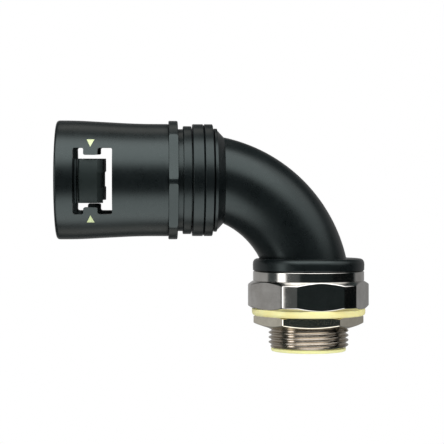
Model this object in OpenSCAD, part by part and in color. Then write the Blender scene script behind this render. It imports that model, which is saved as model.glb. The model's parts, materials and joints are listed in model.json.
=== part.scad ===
// 90 degree swivel connector for corrugated conduit, with a nickel-plated M25 thread.
// Origin: on the swivel axis, at the underside of the hexagon that seats on the panel.
// Z points up the swivel axis. The conduit arm points along -X.

/* [Thread adaptor] */
// Outside diameter of the male thread
thread_d = 25; // [24:0.5:26]
// Length of the threaded stub below the hexagon
thread_len = 12.35; // [11:0.05:16]
// Chamfer at the end of the thread
thread_chamfer = 1; // [0.4:0.1:1.4]
// Width of the hexagon across its flats
hex_af = 35.2; // [34.6:0.1:35.8]
// Diameter that the hexagon's corners are turned to
hex_turned_d = 38; // [37.2:0.1:38.6]
// Height of the hexagon
hex_h = 8.55; // [8:0.05:9.4]
// Diameter of the plain neck above the hexagon
neck_d = 34.75; // [34:0.05:34.9]
// Height of the plain neck
neck_h = 3.35; // [3:0.05:3.8]
// Diameter of the cup bored into the adaptor for the elbow's spigot
cup_d = 28; // [27.4:0.1:28.4]
// Depth of the cup below the top of the neck
cup_depth = 9.7; // [9.4:0.1:10.2]
// Diameter of the bore through the thread
throat_d = 20.8; // [20:0.1:21.6]
// How far in from its turned corners the hexagon's chamfers reach
hex_chamfer = 1.5; // [0.6:0.1:1.8]
// Turn of the hexagon about the swivel axis, in degrees
hex_turn = 6; // [0:0.5:15]

/* [Throat liner, washer and locknut] */
// Wall of the throat liner
liner_wall = 0.95; // [0.7:0.05:1.2]
// Diameter of the liner's lip at the end of the thread
liner_lip_d = 23.4; // [22.4:0.1:24]
// Thickness of the liner's lip
liner_lip_t = 0.95; // [0.6:0.05:1.2]
// Diameter of the liner's top flange
liner_flange_d = 26.6; // [24:0.1:27.2]
// Thickness of the liner's top flange
liner_flange_t = 0.8; // [0.5:0.05:1]
// Outside diameter of the sealing washer
washer_d = 35.5; // [34.6:0.1:36]
// Thickness of the sealing washer
washer_t = 2.2; // [1.8:0.05:2.6]
// Radius on the washer's lower edge
washer_round = 0.9; // [0.4:0.1:1.4]
// Width of the locknut across its flats
locknut_af = 30; // [29:0.1:31]
// Height of the locknut
locknut_h = 3.8; // [3.4:0.05:4.4]
// Height of the locknut's upright sides, down to the chamfer at its corners
locknut_side_h = 2.35; // [2:0.05:2.8]
// Turn of the locknut about the swivel axis, in degrees
locknut_turn = 2; // [-10:1:10]

/* [Elbow] */
// Bend radius of the elbow at the middle of its tube
bend_r = 36.85; // [35:0.05:40]
// Outside diameter of the elbow's tube
tube_d = 25.8; // [25.4:0.1:27]
// Wall of the elbow's tube
tube_wall = 2.1; // [1.8:0.1:2.6]
// Height of the bend's centre above the hexagon's underside
bend_centre_z = 4.7; // [4:0.1:6]
// Distance of the bend's centre from the swivel axis
bend_centre_s = 36.7; // [36.6:0.1:37]
// Diameter of the flange that turns on the adaptor
flange_d = 35.05; // [34:0.05:36]
// Thickness of the flange
flange_h = 3.75; // [3.4:0.05:4.4]
// Radius on the flange's upper edge
flange_round = 1.9; // [0.8:0.1:2.4]

/* [Arm] */
// Distance from the swivel axis to the foot of the arm's cone
arm_start = 26.3; // [25:0.05:28]
// Length of the cone that runs from the tube up to the step
cone_len = 2.3; // [1.6:0.05:3]
// Diameter of the cone at its wide end
cone_d = 31.3; // [30:0.1:31.6]
// Diameter of the step behind the cone
step_d = 32.2; // [31.8:0.1:33]
// Length of the step
step_len = 1.35; // [1:0.05:2]
// Diameter of the elbow's end ring
end_ring_d = 34.9; // [34:0.1:36]
// Length of the elbow's end ring
end_ring_len = 6.3; // [5:0.1:8]
// Distance of the fine groove from the end ring's cap side
ring_groove_at = 3.75; // [3:0.05:4.4]
// Wall of the stub on which the socket is seated
stub_wall = 2.8; // [2.4:0.1:3]
// Length of the stub
stub_len = 7.7; // [7:0.1:8.4]
// How far the socket's ring stands out of its sleeve
socket_ring_rise = 0.925; // [0.6:0.025:1.2]
// Length of the socket's ring
socket_ring_len = 3.2; // [2.8:0.1:4]
// Length of bare neck between the socket's ring and the cap
socket_neck_len = 1.65; // [1.2:0.05:2.4]
// Wall of the socket over the stub
socket_wall = 2.25; // [2.1:0.05:2.4]
// Wall of the socket's sleeve round the conduit
sleeve_wall = 1.4; // [1.3:0.05:1.5]
// Thickness of the shoulder at the bottom of the socket
shoulder_t = 2.9; // [2.6:0.1:3.4]
// How far the shoulder reaches in behind the conduit's end
shoulder_reach = 3.1; // [2.8:0.1:3.4]
// Length of the socket's sleeve beyond the shoulder
socket_depth = 13; // [12:0.1:13.2]

/* [Cap] */
// Length of the cap with its collar
cap_len = 37.35; // [36.6:0.05:40]
// Diameter of the cap at its mouth
cap_mouth_d = 36.9; // [36.5:0.1:38]
// How far the cap's outside draws in from the mouth to the collar
cap_taper = 0.98; // [0.6:0.02:1.2]
// Wall of the cap at its mouth
cap_wall = 2.5; // [2.2:0.1:2.8]
// Length of the cap's widest stretch at the mouth
cap_wide_len = 6.35; // [5.8:0.05:7]
// Length of the taper from the widest stretch to the slim one
cap_taper_len = 18.8; // [16:0.1:19.4]
// Radius on the edge of the mouth
cap_round = 1.1; // [0.6:0.1:1.5]
// How far the end wall reaches in from the cap's bore
mouth_lip = 1.35; // [1.2:0.05:1.5]
// Thickness of the cap's end wall round the mouth
mouth_wall = 2.85; // [2.4:0.05:3.4]
// How far the collar stands out of the cap
collar_rise = 0.98; // [0.8:0.02:1.4]
// Length of the cap's collar
collar_len = 2.8; // [2.2:0.1:3.4]
// Depth of each of the collar's grip flats
grip_depth = 1.55; // [1.2:0.05:1.6]
// Angle of each grip flat from the window's middle, in degrees
collar_flat_angle = 26; // [22:1:30]
// How far the cap stands turned on its socket, with the front window lowered, in degrees
cap_turn = 3; // [0:0.5:10]

/* [Windows and latches] */
// Distance from the cap's rim to the near edge of the windows
window_from_rim = 5.65; // [5.4:0.05:6.8]
// Length of each window along the arm
window_len = 11.8; // [11.4:0.1:12.2]
// Height of each window across the arm
window_h = 20; // [19:0.2:21]
// Radius on the window's corners
window_round = 0.6; // [0.3:0.1:1]
// Distance from the window's near edge to its release tabs
tab_from_edge = 3.2; // [2.6:0.1:3.6]
// Length of each release tab along the arm
tab_len = 4.2; // [3.6:0.1:4.8]
// How far each release tab reaches into the window
tab_reach = 2.15; // [1.6:0.05:2.4]
// Distance from the window's near edge to the tongue's root
tongue_from_edge = 1.85; // [1.7:0.05:2.2]
// Length of each tongue along the arm
tongue_len = 7.2; // [6.8:0.05:8.8]
// Height of each tongue across the arm
tongue_h = 13.2; // [12:0.1:14]
// Thickness of the tongue's blade
tongue_t = 1.7; // [1.4:0.1:2]
// Depth of the tongue's outside below the cap's outside at the mouth
tongue_sink = 1.95; // [1.7:0.05:2.1]
// Length of the slope at each tongue's end
tooth_end_len = 1.75; // [1.4:0.05:2.8]
// How far the teeth reach in from the blade
tooth_h = 1.6; // [1.2:0.1:1.8]
// Width of the marker triangles at their base
marker_w = 2.3; // [1.8:0.1:2.8]
// Height of the marker triangles across the arm
marker_h = 2.2; // [1.8:0.1:2.4]
// Depth of the marker triangles in the cap
marker_t = 0.4; // [0.3:0.05:0.6]

/* [Fits] */
// Clearance on the radius where one piece turns in another
run_gap = 0.05; // [0.02:0.01:0.1]
// Clearance between pieces that are seated together
seat_gap = 0.05; // [0.03:0.01:0.08]
// Clearance between pieces that move past each other
free_gap = 0.3; // [0.25:0.05:0.4]
// Thickness of the swivel clip
clip_t = 0.8; // [0.6:0.05:1]
// Width of the swivel clip from inside to outside
clip_w = 1.65; // [1.4:0.05:1.8]
// Thickness of the O-rings
seal_t = 1; // [0.9:0.05:1.1]

/* [Hidden] */
$fn = 96;
cut = 1; // how far a cutter runs past the face that it cuts

black_plastic = [0.17, 0.19, 0.19];
nickel = [0.66, 0.66, 0.64];
pale_yellow = [0.96, 0.94, 0.66];
marker_green = [0.86, 0.92, 0.67];
seal_rubber = [0.10, 0.10, 0.10];
spring_steel = [0.75, 0.76, 0.78];

// Heights on the swivel axis
neck_top = hex_h + neck_h;
cup_floor = neck_top - cup_depth;
flange_top = neck_top + flange_h;
liner_top = cup_floor + liner_flange_t;
spigot_end = liner_top + free_gap;
spigot_r = cup_d / 2 - run_gap;
tube_bore_r = tube_d / 2 - tube_wall;
clip_z = cup_floor + 4;
clip_in_r = spigot_r - clip_w / 2;
swivel_seal_z = neck_top - 2.3;

// Distances along the arm from the swivel axis, measured along -X
arm_z = bend_centre_z + sqrt(pow(bend_r, 2) - pow(bend_centre_s - arm_start, 2));
step_s = arm_start + cone_len;
end_ring_s = step_s + step_len;
socket_s = end_ring_s + end_ring_len;
socket_neck_s = socket_s + socket_ring_len;
cap_s = socket_neck_s + socket_neck_len;
stub_end_s = socket_s + stub_len;
shoulder_s = stub_end_s + seat_gap;
socket_floor_s = shoulder_s + shoulder_t;
sleeve_end_s = socket_floor_s + socket_depth;
rim_s = cap_s + cap_len;
window_near_s = rim_s - window_from_rim;
window_far_s = window_near_s - window_len;
tab_near_s = window_near_s - tab_from_edge;
tab_mid_s = tab_near_s - tab_len / 2;
tongue_root_s = window_near_s - tongue_from_edge;
tongue_tip_s = tongue_root_s - tongue_len;
hinge_face_s = tongue_root_s + free_gap;
latch_face_s = window_near_s + 0.1;
cap_inner_s = rim_s - mouth_wall;
cap_mouth_r = cap_mouth_d / 2;
cap_slim_r = cap_mouth_r - cap_taper;
cap_bore_r = cap_mouth_r - cap_wall;
mouth_bore_r = cap_bore_r - mouth_lip;
collar_r = cap_slim_r + collar_rise;
collar_flat = collar_r - grip_depth;
sleeve_r = cap_bore_r - seat_gap;
conduit_bore_r = sleeve_r - sleeve_wall;
shoulder_bore_r = conduit_bore_r - shoulder_reach;
stub_r = sleeve_r - socket_wall - seat_gap;
stub_bore_r = stub_r - stub_wall;
latch_out_r = cap_bore_r - seat_gap;
latch_in_r = mouth_bore_r + 0.3;
tongue_out_r = cap_mouth_r - tongue_sink;
snap_s = sleeve_end_s - 3.5;
snap_len = 1;
snap_h = 0.45;
follower_t = 1.2;
conduit_seal_len = 4;
end_ring_r = end_ring_d / 2;
groove_w = 0.35;
line_gap = 0.25;
chamfer_slope = 0.8; // rise of the hexagon's chamfers along the axis for each step inwards
mouth_chamfer = 0.8;
marker_gap = 0.02;
hinge_rib_at = 0.35;
hinge_rib_len = 1;
tip_drop = 0.9;
tip_notch_w = 4.4;
tip_notch_len = 0.35;
tooth_rows = 2;
tooth_pitch = 3.2;

// Puts a shape's Z axis along the arm, with its X axis upwards
module along_arm() {
    translate([0, 0, arm_z]) rotate([0, -90, 0]) children();
}

// Puts a shape of the cap along the arm, turned as the cap stands on its socket
module along_cap() {
    along_arm() rotate([0, 0, -cap_turn]) children();
}

// A disc on the Z axis with both outer edges chamfered by c inwards and ch along the axis
module chamfered_disc(r, z0, z1, c, ch) {
    rotate_extrude() polygon([[0, z0], [r - c, z0], [r, z0 + ch], [r, z1 - ch], [r - c, z1], [0, z1]]);
}

// Points of a quarter circle that rounds a disc's lower edge, from its side down to its underside
function rounded_edge(r, z, round) = [for (i = [0:6])
    [r - round * (1 - cos(90 * i / 6)), z + round * (1 - sin(90 * i / 6))]
];

module tube(r_out, r_in, z0, z1) {
    difference() {
        translate([0, 0, z0]) cylinder(r = r_out, h = z1 - z0);
        translate([0, 0, z0 - cut]) cylinder(r = r_in, h = z1 - z0 + 2 * cut);
    }
}

module bore(r, z0, z1) {
    translate([0, 0, z0]) cylinder(r = r, h = z1 - z0);
}

module o_ring(mid_r, z, t) {
    translate([0, 0, z]) rotate_extrude() translate([mid_r, 0]) circle(d = t);
}

// A hexagonal prism, across flats af, between two heights
module hex_prism(af, z0, z1) {
    translate([0, 0, z0]) cylinder(d = af / cos(30), h = z1 - z0, $fn = 6);
}

// The bend of the elbow as a solid of radius r, from the arm's side down to the swivel axis
module bend(r, from_angle, to_angle) {
    translate([-bend_centre_s, 0, bend_centre_z]) rotate([90, 0, 0])
        rotate([0, 0, from_angle])
            rotate_extrude(angle = to_angle - from_angle) translate([bend_r, 0]) circle(r = r);
}

module thread_adaptor() {
    groove_r = clip_in_r + clip_w + 0.1;
    groove_half = clip_t / 2 + 0.15;
    color(nickel) difference() {
        union() {
            intersection() {
                rotate([0, 0, hex_turn]) hex_prism(hex_af, 0, hex_h);
                chamfered_disc(hex_turned_d / 2, 0, hex_h, hex_chamfer, hex_chamfer * chamfer_slope);
            }
            chamfered_disc(neck_d / 2, hex_h / 2, neck_top, 0.4, 0.4);
            rotate_extrude() polygon([
                [0, -thread_len], [thread_d / 2 - thread_chamfer, -thread_len],
                [thread_d / 2, -thread_len + thread_chamfer], [thread_d / 2, hex_h / 2], [0, hex_h / 2]
            ]);
        }
        bore(cup_d / 2, cup_floor, neck_top + cut);
        bore(throat_d / 2, -thread_len - cut, cup_floor + cut);
        bore(groove_r, clip_z - groove_half, clip_z + groove_half);
    }
}

module throat_liner() {
    outer_r = throat_d / 2 - seat_gap;
    color(pale_yellow) rotate_extrude() polygon([
        [outer_r - liner_wall, -thread_len - liner_lip_t], [liner_lip_d / 2 - 0.25, -thread_len - liner_lip_t],
        [liner_lip_d / 2, -thread_len - liner_lip_t + 0.25], [liner_lip_d / 2, -thread_len],
        [outer_r, -thread_len], [outer_r, cup_floor],
        [liner_flange_d / 2, cup_floor], [liner_flange_d / 2, liner_top], [outer_r - liner_wall, liner_top]
    ]);
}

module sealing_washer() {
    color(pale_yellow) difference() {
        rotate_extrude() polygon(concat(
            [[0, 0], [washer_d / 2 - 0.2, 0], [washer_d / 2, -0.2]], rounded_edge(washer_d / 2, -washer_t, washer_round), [[0, -washer_t]]
        ));
        bore(thread_d / 2 + free_gap, -washer_t - cut, cut);
    }
}

module locknut() {
    corner_r = locknut_af / 2 / cos(30);
    base_r = thread_d / 2 + 0.5;
    past = 0.5; // how far the chamfers' cones run past the corners
    under_slope = (locknut_h - locknut_side_h) / (corner_r - base_r);
    top_slope = 0.35;
    color(nickel) difference() {
        intersection() {
            rotate([0, 0, locknut_turn]) hex_prism(locknut_af, -washer_t - locknut_h, -washer_t);
            rotate_extrude() polygon([
                [0, -washer_t - locknut_h], [base_r, -washer_t - locknut_h],
                [corner_r + past, -washer_t - locknut_side_h + past * under_slope],
                [corner_r + past, -washer_t - (past + 0.9) * top_slope],
                [corner_r - 0.9, -washer_t], [0, -washer_t]
            ]);
        }
        bore(thread_d / 2 + run_gap, -washer_t - locknut_h - cut, -washer_t + cut);
    }
}

// The arm end of the elbow, turned about the arm: cone, step, grooved ring and stub
module elbow_arm_end() {
    groove_s = end_ring_s + end_ring_len - ring_groove_at;
    groove_h = 0.35;
    along_arm() rotate_extrude() polygon([
        [0, arm_start - 3], [tube_d / 2 - 0.5, arm_start - 3], [tube_d / 2 + 0.2, arm_start],
        [cone_d / 2, step_s], [step_d / 2, step_s], [step_d / 2, end_ring_s],
        [end_ring_r - 0.3, end_ring_s], [end_ring_r, end_ring_s + 0.3],
        [end_ring_r, groove_s - groove_w / 2], [end_ring_r - groove_h, groove_s],
        [end_ring_r, groove_s + groove_w / 2], [end_ring_r, socket_s - 0.3],
        [end_ring_r - 0.3, socket_s], [stub_r, socket_s],
        [stub_r, stub_end_s - 0.4], [stub_r - 0.4, stub_end_s], [0, stub_end_s]
    ]);
}

module elbow_body() {
    far = 60; // reach of the box that keeps the bend between the flange and the arm
    round_steps = 6;
    seal_floor_r = spigot_r - seal_t - 0.05;
    color(black_plastic) difference() {
        union() {
            intersection() {
                bend(tube_d / 2, 4, 86);
                translate([-arm_start - 0.5, -far / 2, flange_top - 0.5]) cube([far, far, far]);
            }
            rotate_extrude() polygon(concat(
                [[0, spigot_end], [spigot_r - 0.4, spigot_end], [spigot_r, spigot_end + 0.4],
                 [spigot_r, neck_top], [flange_d / 2 - 0.2, neck_top], [flange_d / 2, neck_top + 0.2]],
                [for (i = [0:round_steps]) [
                    flange_d / 2 - flange_round * (1 - cos(90 * i / round_steps)),
                    flange_top - flange_round * (1 - sin(90 * i / round_steps))
                ]],
                [[0, flange_top]]
            ));
            elbow_arm_end();
        }
        bend(tube_bore_r, 0, 76);
        bore(tube_bore_r, spigot_end - cut, bend_centre_z + 0.5);
        along_arm() bore(tube_bore_r, arm_start - 3, end_ring_s + cut);
        along_arm() bore(stub_bore_r, end_ring_s, stub_end_s + cut);
        tube(cup_d / 2 + cut, clip_in_r - seat_gap, clip_z - clip_t / 2 - seat_gap, clip_z + clip_t / 2 + seat_gap);
        tube(cup_d / 2 + cut, seal_floor_r, swivel_seal_z - seal_t * 0.7, swivel_seal_z + seal_t * 0.7);
        along_arm() tube(stub_r + 0.6, stub_r - seal_t - 0.1,
            stub_end_s - 3 - seal_t * 0.7, stub_end_s - 3 + seal_t * 0.7);
    }
}

module swivel_seal() {
    color(seal_rubber) o_ring(spigot_r - seal_t / 2 - 0.02, swivel_seal_z, seal_t - 0.04);
}

module swivel_clip() {
    gap_w = 5;
    color(spring_steel) difference() {
        tube(clip_in_r + clip_w, clip_in_r, clip_z - clip_t / 2, clip_z + clip_t / 2);
        translate([0, -gap_w / 2, clip_z - clip_t]) cube([cup_d, gap_w, 2 * clip_t]);
    }
}

module socket_body() {
    ring_r = sleeve_r + socket_ring_rise;
    seal_s = shoulder_s + shoulder_t / 2;
    color(black_plastic) along_arm() difference() {
        rotate_extrude() polygon([
            [0, socket_s], [stub_r + 1, socket_s], [stub_r + 1, socket_s + line_gap],
            [ring_r - 0.2, socket_s + line_gap], [ring_r, socket_s + line_gap + 0.2],
            [ring_r, socket_neck_s - 0.3], [ring_r - 0.3, socket_neck_s], [sleeve_r, socket_neck_s],
            [sleeve_r, seal_s - seal_t * 0.7], [sleeve_r - seal_t - 0.1, seal_s - seal_t * 0.7],
            [sleeve_r - seal_t - 0.1, seal_s + seal_t * 0.7], [sleeve_r, seal_s + seal_t * 0.7],
            [sleeve_r, snap_s - 0.2], [sleeve_r - snap_h - 0.15, snap_s - 0.2],
            [sleeve_r - snap_h - 0.15, snap_s + snap_len + 0.2], [sleeve_r, snap_s + snap_len + 0.2],
            [sleeve_r, sleeve_end_s - 0.4], [sleeve_r - 0.4, sleeve_end_s], [0, sleeve_end_s]
        ]);
        bore(stub_r + seat_gap, socket_s - cut, shoulder_s);
        bore(shoulder_bore_r, shoulder_s - cut, socket_floor_s + cut);
        bore(conduit_bore_r, socket_floor_s, sleeve_end_s + cut);
    }
}

module socket_seal() {
    color(seal_rubber) along_arm() o_ring(stub_r - seal_t / 2 - 0.02, stub_end_s - 3, seal_t - 0.04);
}

// A rubber ring with a V groove in its face, which the end of the conduit spreads
module conduit_seal() {
    r_out = conduit_bore_r - seat_gap;
    r_in = shoulder_bore_r + 0.4;
    r_mid = (r_out + r_in) / 2;
    s1 = socket_floor_s + conduit_seal_len;
    color(seal_rubber) along_arm() rotate_extrude() polygon([
        [r_in, socket_floor_s], [r_out, socket_floor_s], [r_out, s1], [r_out - 0.5, s1],
        [r_mid, s1 - 1.8], [r_in + 0.5, s1], [r_in, s1]
    ]);
}

module seal_follower() {
    r_out = conduit_bore_r - seat_gap;
    s0 = socket_floor_s + conduit_seal_len;
    color(black_plastic) along_arm() tube(r_out, shoulder_bore_r + 0.8, s0, s0 + follower_t);
}

// The cap's outside as a solid of revolution, drawn in by inset
module cap_outline(inset) {
    wide_r = cap_mouth_r - inset;
    slim_r = cap_slim_r - inset;
    round_steps = 6;
    rotate_extrude() polygon(concat(
        [[0, cap_s + collar_len], [slim_r, cap_s + collar_len],
         [slim_r, rim_s - cap_wide_len - cap_taper_len], [wide_r, rim_s - cap_wide_len]],
        [for (i = [0:round_steps]) [
            wide_r - cap_round * (1 - cos(90 * i / round_steps)),
            rim_s - inset - cap_round * (1 - sin(90 * i / round_steps))
        ]],
        [[0, rim_s - inset]]
    ));
}

// A box through the arm from front to back, with rounded corners, between two places along it
module cross_slot(s0, s1, h, r) {
    rotate([90, 0, 0]) translate([0, 0, -cap_mouth_d]) linear_extrude(2 * cap_mouth_d) union() {
        translate([-h / 2 + r, s0]) square([h - 2 * r, s1 - s0]);
        translate([-h / 2, s0 + r]) square([h, s1 - s0 - 2 * r]);
        for (x = [-h / 2 + r, h / 2 - r], s = [s0 + r, s1 - r]) translate([x, s]) circle(r = r, $fn = 24);
    }
}

module window_cutter() {
    difference() {
        cross_slot(window_far_s, window_near_s, window_h, window_round);
        for (side = [-1, 1])
            translate([side > 0 ? window_h / 2 - tab_reach : -window_h / 2 - cut, -cap_mouth_d, tab_near_s - tab_len])
                cube([tab_reach + cut, 2 * cap_mouth_d, tab_len]);
    }
}

// One marker triangle as a prism through the cap's wall; up is 1 or -1, front is 1 or -1
module marker_prism(up, front, gap) {
    apex = window_h / 2 + 0.3 - gap;
    base = apex + marker_h + 2 * gap;
    rotate([front > 0 ? 90 : -90, 0, 0]) linear_extrude(cap_mouth_d) polygon([
        [up * apex, front * tab_mid_s], [up * base, front * tab_mid_s - marker_w / 2 - gap],
        [up * base, front * tab_mid_s + marker_w / 2 + gap]
    ]);
}

// The space between one opposite pair of grip flats
module grip_slab(angle) {
    rotate([0, 0, angle]) translate([-cap_mouth_d, -collar_flat, 0]) cube([2 * cap_mouth_d, 2 * collar_flat, rim_s]);
}

module locking_cap() {
    color(black_plastic) along_cap() difference() {
        union() {
            cap_outline(0);
            intersection() {
                chamfered_disc(collar_r, cap_s, cap_s + collar_len, 0.35, 0.35);
                grip_slab(collar_flat_angle);
                grip_slab(-collar_flat_angle);
            }
        }
        difference() {
            bore(cap_bore_r, cap_s - cut, cap_inner_s);
            tube(cap_bore_r + cut, cap_bore_r - snap_h, snap_s, snap_s + snap_len);
        }
        bore(mouth_bore_r, cap_inner_s - cut, rim_s + cut);
        translate([0, 0, rim_s - mouth_chamfer])
            cylinder(r1 = mouth_bore_r, r2 = mouth_bore_r + 2 * mouth_chamfer, h = 2 * mouth_chamfer);
        window_cutter();
        for (up = [-1, 1], front = [-1, 1]) difference() {
            marker_prism(up, front, marker_gap);
            cap_outline(marker_t);
        }
    }
}

module cap_seal() {
    color(seal_rubber) along_arm() o_ring(sleeve_r - seal_t / 2 - 0.02, shoulder_s + shoulder_t / 2, seal_t - 0.04);
}

// The ring that carries the tongues: a band behind the cap's mouth, two side arms behind its walls down to the
// socket's sleeve, and in each window a ribbed block at which the tongue hinges
module latch_ring() {
    band_r = latch_out_r - 0.5;
    rib_s = hinge_face_s + hinge_rib_at;
    opening_h = window_h + 2 * free_gap;
    color(black_plastic) along_cap() difference() {
        rotate_extrude() polygon([
            [latch_in_r, sleeve_end_s + seat_gap], [latch_out_r, sleeve_end_s + seat_gap],
            [latch_out_r, hinge_face_s], [band_r, hinge_face_s], [band_r, rib_s], [latch_out_r, rib_s],
            [latch_out_r, rib_s + hinge_rib_len], [band_r, rib_s + hinge_rib_len], [band_r, latch_face_s],
            [latch_out_r, latch_face_s], [latch_out_r, cap_inner_s], [latch_in_r, cap_inner_s]
        ]);
        difference() {
            translate([-opening_h / 2, -cap_mouth_d, sleeve_end_s - cut])
                cube([opening_h, 2 * cap_mouth_d, latch_face_s - sleeve_end_s + cut]);
            translate([-tongue_h / 2, -2 * cap_mouth_d, hinge_face_s])
                cube([tongue_h, 4 * cap_mouth_d, latch_face_s]);
        }
    }
}

// One tongue: a curved blade that slopes off at its end, with two rows of teeth inside; front is 1 or -1
module tongue(front) {
    in_r = tongue_out_r - tongue_t;
    slope_s = tongue_tip_s + tooth_end_len;
    color(black_plastic) along_cap() difference() {
        intersection() {
            rotate_extrude() polygon(concat(
                [[in_r, tongue_root_s], [tongue_out_r - 0.4, tongue_root_s], [tongue_out_r, tongue_root_s - 0.4],
                 [tongue_out_r, slope_s], [tongue_out_r - tip_drop, tongue_tip_s + 0.25],
                 [tongue_out_r - tip_drop - 0.25, tongue_tip_s], [in_r, tongue_tip_s]],
                [for (n = [0:tooth_rows - 1], p = [[0, 0], [tooth_h, 0.3], [tooth_h, 0.7], [0, 1.5]])
                    [in_r - p[0], tongue_tip_s + 0.2 + n * tooth_pitch + p[1]]]
            ));
            translate([-tongue_h / 2, front > 0 ? -cap_mouth_d : 0, tongue_tip_s - cut])
                cube([tongue_h, cap_mouth_d, tongue_len + 2 * cut]);
        }
        translate([-tip_notch_w / 2, -cap_mouth_d, tongue_tip_s - cut])
            cube([tip_notch_w, 2 * cap_mouth_d, cut + tip_notch_len]);
    }
}

module front_tongue() tongue(1);
module rear_tongue() tongue(-1);

module marker(up, front) {
    color(marker_green) along_cap() intersection() {
        difference() {
            cap_outline(0);
            cap_outline(marker_t - 0.02);
        }
        marker_prism(up, front, 0);
    }
}

module front_upper_marker() marker(1, 1);
module front_lower_marker() marker(-1, 1);
module rear_upper_marker() marker(1, -1);
module rear_lower_marker() marker(-1, -1);

thread_adaptor();
throat_liner();
sealing_washer();
locknut();
elbow_body();
swivel_seal();
swivel_clip();
socket_body();
socket_seal();
conduit_seal();
seal_follower();
locking_cap();
cap_seal();
latch_ring();
front_tongue();
rear_tongue();
front_upper_marker();
front_lower_marker();
rear_upper_marker();
rear_lower_marker();
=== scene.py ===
import json
import math

import bmesh
import bpy
import numpy as np
from mathutils import Matrix, Vector

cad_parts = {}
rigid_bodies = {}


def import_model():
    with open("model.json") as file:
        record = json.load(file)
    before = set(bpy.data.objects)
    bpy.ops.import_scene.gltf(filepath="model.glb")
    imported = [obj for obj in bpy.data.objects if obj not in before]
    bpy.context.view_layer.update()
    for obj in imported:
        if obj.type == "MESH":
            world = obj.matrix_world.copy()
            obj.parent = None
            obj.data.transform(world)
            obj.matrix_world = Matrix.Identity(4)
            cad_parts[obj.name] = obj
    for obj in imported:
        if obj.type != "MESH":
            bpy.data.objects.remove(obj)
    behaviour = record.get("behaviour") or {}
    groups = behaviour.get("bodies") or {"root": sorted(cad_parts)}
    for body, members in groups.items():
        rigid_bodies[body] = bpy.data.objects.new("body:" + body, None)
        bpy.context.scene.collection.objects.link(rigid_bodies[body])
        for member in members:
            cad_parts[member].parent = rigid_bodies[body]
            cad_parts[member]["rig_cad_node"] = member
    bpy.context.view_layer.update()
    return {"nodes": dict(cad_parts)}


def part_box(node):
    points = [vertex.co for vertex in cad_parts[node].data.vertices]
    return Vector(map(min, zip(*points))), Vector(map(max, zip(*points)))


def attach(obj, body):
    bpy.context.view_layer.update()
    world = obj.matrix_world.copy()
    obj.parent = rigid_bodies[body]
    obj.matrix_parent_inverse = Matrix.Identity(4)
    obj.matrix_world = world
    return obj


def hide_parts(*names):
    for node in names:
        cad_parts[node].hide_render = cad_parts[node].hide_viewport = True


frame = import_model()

mm = 0.001
armHeight = (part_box("locking_cap")[0].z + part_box("locking_cap")[1].z) / 2 / mm
print("frame loaded, arm axis at", round(armHeight, 3), "mm")


# Surfaces from grids

def roundedPath(corners, steps=5):
    # Each corner (a, b, radius) becomes an arc that leaves one side at the radius and joins the next there:
    # a quadratic curve from the point before the corner to the point after it.
    points = np.array([c[:2] for c in corners], float)
    pieces = []
    for i, corner in enumerate(corners):
        here, radius = points[i], corner[2] if len(corner) > 2 else 0
        if radius == 0:
            pieces.append(here[None])
            continue
        before, after = points[i - 1] - here, points[(i + 1) % len(points)] - here
        start = here + before / np.linalg.norm(before) * radius
        end = here + after / np.linalg.norm(after) * radius
        t = np.linspace(0, 1, steps)[:, None]
        pieces.append((1 - t) ** 2 * start + 2 * t * (1 - t) * here + t ** 2 * end)
    return np.concatenate(pieces)


def meshPiece(name, points, quads, sharpAngle=32, ends=()):
    # A mesh from points and four-cornered faces, doubles merged, faces turned outwards by its signed volume.
    mesh = bpy.data.meshes.new(name)
    mesh.from_pydata((points * mm).tolist(), [], quads.tolist() + [list(end) for end in ends])
    net = bmesh.new()
    net.from_mesh(mesh)
    bmesh.ops.remove_doubles(net, verts=net.verts, dist=2e-6)
    bmesh.ops.dissolve_degenerate(net, edges=net.edges, dist=1e-7)
    bmesh.ops.recalc_face_normals(net, faces=net.faces)
    if net.calc_volume(signed=True) < 0:
        bmesh.ops.reverse_faces(net, faces=net.faces)
    net.to_mesh(mesh)
    net.free()
    mesh.polygons.foreach_set("use_smooth", np.ones(len(mesh.polygons), bool))
    mesh.set_sharp_from_angle(angle=math.radians(sharpAngle))
    piece = bpy.data.objects.new(name, mesh)
    bpy.context.scene.collection.objects.link(piece)
    return piece


def gridQuads(rows, cols, closeRows=True):
    # Faces between neighbouring rows and columns of a grid whose last column lies on its first.
    r = np.arange(rows if closeRows else rows - 1)[:, None]
    c = np.arange(cols - 1)[None, :]
    r2 = (r + 1) % rows
    return np.stack([r * cols + c, r * cols + c + 1, r2 * cols + c + 1, r2 * cols + c], -1).reshape(-1, 4)


def aroundAxis(radius, height, angle):
    # A point at a radius and a height on the swivel axis: (r cos a, r sin a, z).
    return np.stack(np.broadcast_arrays(radius * np.cos(angle), radius * np.sin(angle), height), -1)


def aroundArm(radius, along, angle):
    # A point round the arm's axis, with angle 0 upwards and the distance along the arm measured to -X.
    return np.stack(np.broadcast_arrays(-along, radius * np.sin(angle), armHeight + radius * np.cos(angle)), -1)


def ringPiece(name, body, replaced, profile, place, columns=193):
    # A closed profile of (radius, station) carried round an axis.
    angle = np.linspace(0, 2 * np.pi, columns)[None, :]
    points = place(profile[:, :1], profile[:, 1:2], angle)
    piece = meshPiece(name, points.reshape(-1, 3), gridQuads(len(profile), columns))
    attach(piece, body)
    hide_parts(replaced)
    return piece


# Thread adaptor: neck, hexagon and a real M25 x 1.5 helix in one closed surface

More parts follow.
